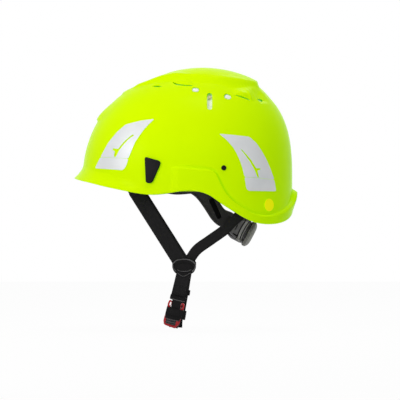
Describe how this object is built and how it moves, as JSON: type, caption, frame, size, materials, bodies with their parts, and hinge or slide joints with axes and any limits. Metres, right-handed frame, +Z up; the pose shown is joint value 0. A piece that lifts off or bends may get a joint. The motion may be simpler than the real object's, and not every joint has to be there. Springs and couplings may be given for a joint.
{
  "type": "arborist helmet",
  "caption": "Short-peaked climbing helmet with foam and slip liners, nape cradle with a size dial, accessory slots and a four-point chin strap with a side-release buckle.",
  "frame": {"origin": "inside the head, on the middle plane at brow height", "axes": "+Z up, front of the helmet towards -Y, wearer's left towards +X"},
  "size_m": [0.223, 0.2842, 0.3329],
  "materials": {
    "shell": "glossy fluorescent yellow-green ABS",
    "socket": "satin moulded plastic",
    "foam": "expanded polystyrene beads, matt",
    "slip": "thin smooth polycarbonate, satin",
    "elastomer": "matt rubber",
    "reflective": "retroreflective film, light grey",
    "label": "printed vinyl, plain yellow",
    "black_plastic": "satin black nylon",
    "beige_plastic": "satin beige acetal",
    "pad": "brushed fabric over foam",
    "cradle": "flexible nylon, satin",
    "dial": "dark grey nylon, satin",
    "gear": "white acetal",
    "steel": "zinc plated",
    "webbing": "woven polyester webbing",
    "red_plastic": "red acetal, semi-gloss"
  },
  "bodies": {
    "helmet": {"outer_shell": "shell", "eps_liner": "foam", "ear_slot_left": "socket", "ear_slot_right": "socket", "side_plug_left": "black_plastic", "side_plug_right": "black_plastic", "reflector_front_left": "reflective", "reflector_front_right": "reflective", "reflector_rear_left": "reflective", "reflector_rear_right": "reflective", "round_label": "label", "shell_plugs": "black_plastic", "lamp_hooks": "beige_plastic", "slip_anchors": "elastomer", "brow_band": "cradle", "brow_pad": "pad", "temple_pins": "black_plastic", "strap_anchors": "black_plastic", "anchor_rivets": "steel", "strap_front_left": "webbing", "strap_front_right": "webbing", "strap_rear_left": "webbing", "strap_rear_right": "webbing", "strap_lower_left": "webbing", "strap_lower_right": "webbing", "divider_left": "black_plastic", "divider_right": "black_plastic", "buckle_female": "black_plastic", "chin_strap": "webbing", "chin_adjuster": "black_plastic", "strap_tail": "webbing"},
    "slip": {"slip_liner": "slip", "crown_pad": "pad", "side_pads": "pad"},
    "nape_cradle": {"arm_left": "cradle", "arm_right": "cradle", "nape_housing": "cradle", "nape_cover": "dial", "nape_pad": "pad", "click_ring": "steel"},
    "dial": {"pinion": "gear", "dial_screw": "steel", "dial_knob": "dial"},
    "strip_left": {"rack_left": "cradle"},
    "strip_right": {"rack_right": "cradle"},
    "buckle_tongue": {"buckle_male": "red_plastic"},
    "prong_front": {"prong_front": "red_plastic"},
    "prong_back": {"prong_back": "red_plastic"},
    "keeper": {"strap_keeper": "elastomer"}
  },
  "joints": [
    {"name": "slip_turn", "type": "hinge", "parent": "helmet", "child": "slip", "pos_m": [0, 0, 0], "axis": [0, 0, 1], "range_deg": [-2.5, 2.5], "stiffness_Nm_per_rad": 2, "deforming": ["slip_anchors"]},
    {"name": "cradle_tilt", "type": "hinge", "parent": "helmet", "child": "nape_cradle", "pos_m": [0, 0.0138, -0.0163], "axis": [1, 0, 0], "range_deg": [-8, 8]},
    {"name": "dial_turn", "type": "hinge", "parent": "nape_cradle", "child": "dial", "pos_m": [0, 0.0025, -0.0465], "axis": [0, 0.887, -0.4617], "range_deg": [-75, 75]},
    {"name": "strip_left_travel", "type": "hinge", "parent": "nape_cradle", "child": "strip_left", "pos_m": [0, 0.0025, -0.0465], "axis": [0, 0.4617, 0.887], "range_deg": [-6.5, 6.5]},
    {"name": "strip_right_travel", "type": "hinge", "parent": "nape_cradle", "child": "strip_right", "pos_m": [0, 0.0025, -0.0465], "axis": [0, 0.4617, 0.887], "range_deg": [-6.5, 6.5]},
    {"name": "buckle_release", "type": "slide", "parent": "helmet", "child": "buckle_tongue", "axis": [-0.1219, -0.2401, -0.9631], "range_m": [0, 0.022], "deforming": ["chin_strap", "prong_front", "prong_back"]},
    {"name": "prong_front_squeeze", "type": "hinge", "parent": "buckle_tongue", "child": "prong_front", "pos_m": [0.06396, -0.02225, -0.18982], "axis": [-0.9925, 0.0295, 0.1182], "range_deg": [0, 5], "stiffness_Nm_per_rad": 0.2},
    {"name": "prong_back_squeeze", "type": "hinge", "parent": "buckle_tongue", "child": "prong_back", "pos_m": [0.06396, -0.00731, -0.19354], "axis": [0.9925, -0.0295, -0.1182], "range_deg": [0, 5], "stiffness_Nm_per_rad": 0.2},
    {"name": "keeper_slide", "type": "slide", "parent": "helmet", "child": "keeper", "axis": [-0.0703, 0.1583, 0.9849], "range_m": [0, 0.012]}
  ],
  "couplings": [
    {"joint": "strip_left_travel", "follows": "dial_turn", "ratio": -0.08254},
    {"joint": "strip_right_travel", "follows": "dial_turn", "ratio": 0.08254}
  ]
}
